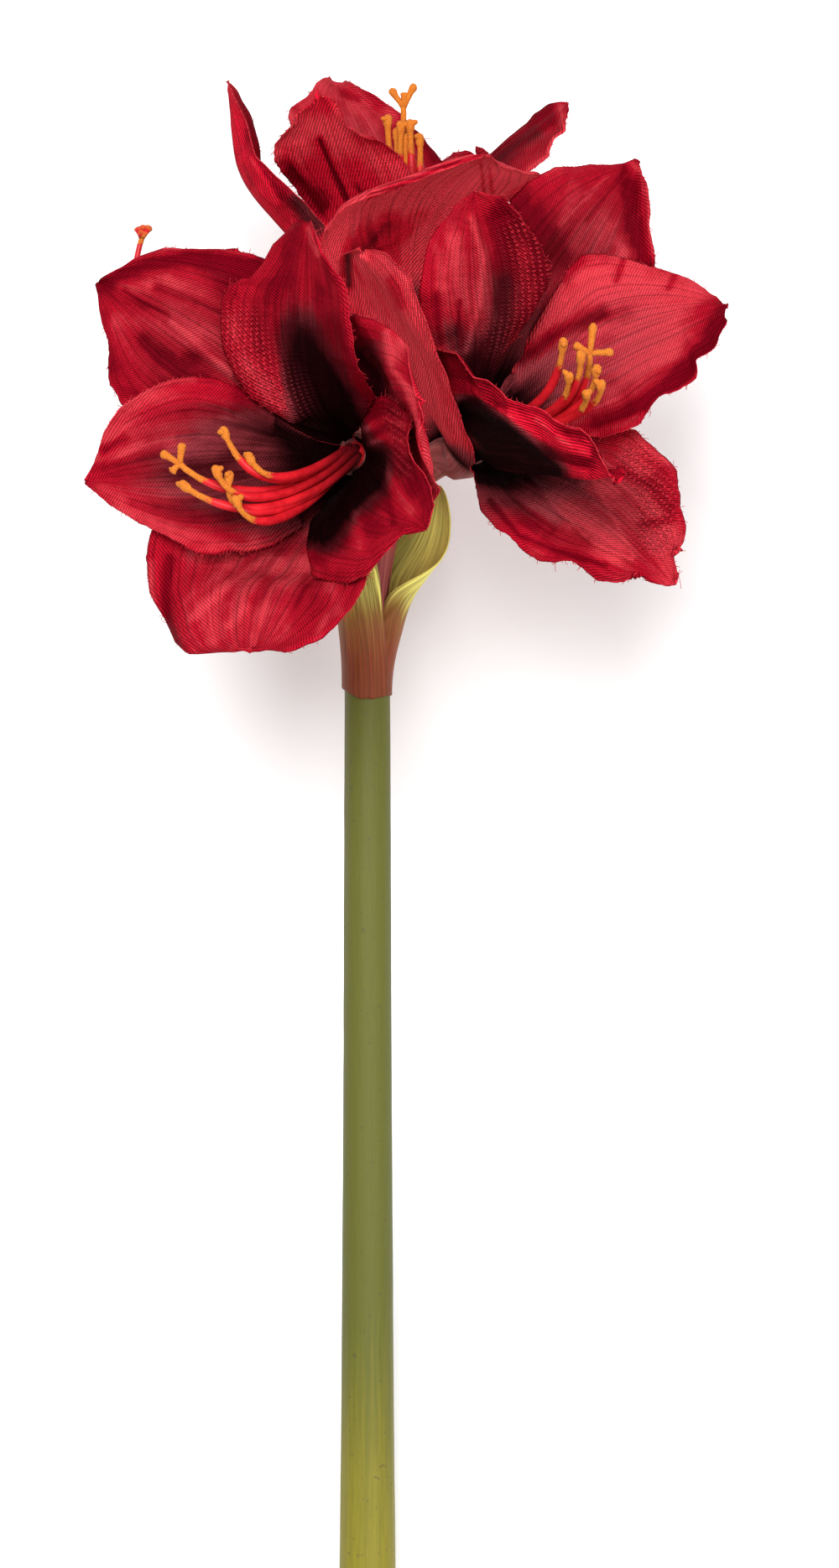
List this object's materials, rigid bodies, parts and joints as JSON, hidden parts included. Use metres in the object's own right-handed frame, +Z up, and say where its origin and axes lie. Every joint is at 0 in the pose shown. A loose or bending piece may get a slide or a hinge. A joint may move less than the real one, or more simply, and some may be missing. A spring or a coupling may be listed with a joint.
{
  "type": "artificial amaryllis stem",
  "caption": "Artificial amaryllis stem laid on its back: open red fabric blooms with moulded stamens on short stalks, leafy bracts round the collar and a thick green stem.",
  "frame": {"origin": "bottom centre of the bounding box, on the surface that the flower lies on", "axes": "+Y along the lying stem from its cut end to the blooms, +Z up, +X to the right when seen from above with the blooms at the top"},
  "size_m": [0.2662, 0.7214, 0.2589],
  "materials": {
    "petal_red": "matt dyed twill, darker towards the throat",
    "stem_green": "matt green, yellower towards the cut",
    "pedicel_brown": "satin reddish brown",
    "bract_green": "waxed yellow-green leaf, reddish brown on the collar",
    "stamen_red": "satin red with flocked orange tips",
    "wire_steel": "drawn wire"
  },
  "bodies": {
    "root": {"stem": "stem_green", "stem_wire": "wire_steel", "bract_front": "bract_green", "bract_back": "bract_green", "left_pedicel": "pedicel_brown", "left_stamens": "stamen_red", "left_petal_1": "petal_red", "left_petal_2": "petal_red", "left_petal_3": "petal_red", "left_petal_4": "petal_red", "left_petal_5": "petal_red", "left_petal_6": "petal_red", "right_pedicel": "pedicel_brown", "right_stamens": "stamen_red", "right_petal_1": "petal_red", "right_petal_2": "petal_red", "right_petal_3": "petal_red", "right_petal_4": "petal_red", "right_petal_5": "petal_red", "right_petal_6": "petal_red", "top_pedicel": "pedicel_brown", "top_stamens": "stamen_red", "top_petal_1": "petal_red", "top_petal_2": "petal_red", "top_petal_3": "petal_red", "top_petal_4": "petal_red", "top_petal_5": "petal_red", "top_petal_6": "petal_red", "rear_pedicel": "pedicel_brown", "rear_stamens": "stamen_red", "rear_petal_1": "petal_red", "rear_petal_2": "petal_red", "rear_petal_3": "petal_red", "rear_petal_4": "petal_red", "rear_petal_5": "petal_red", "rear_petal_6": "petal_red"}
  },
  "joints": []
}
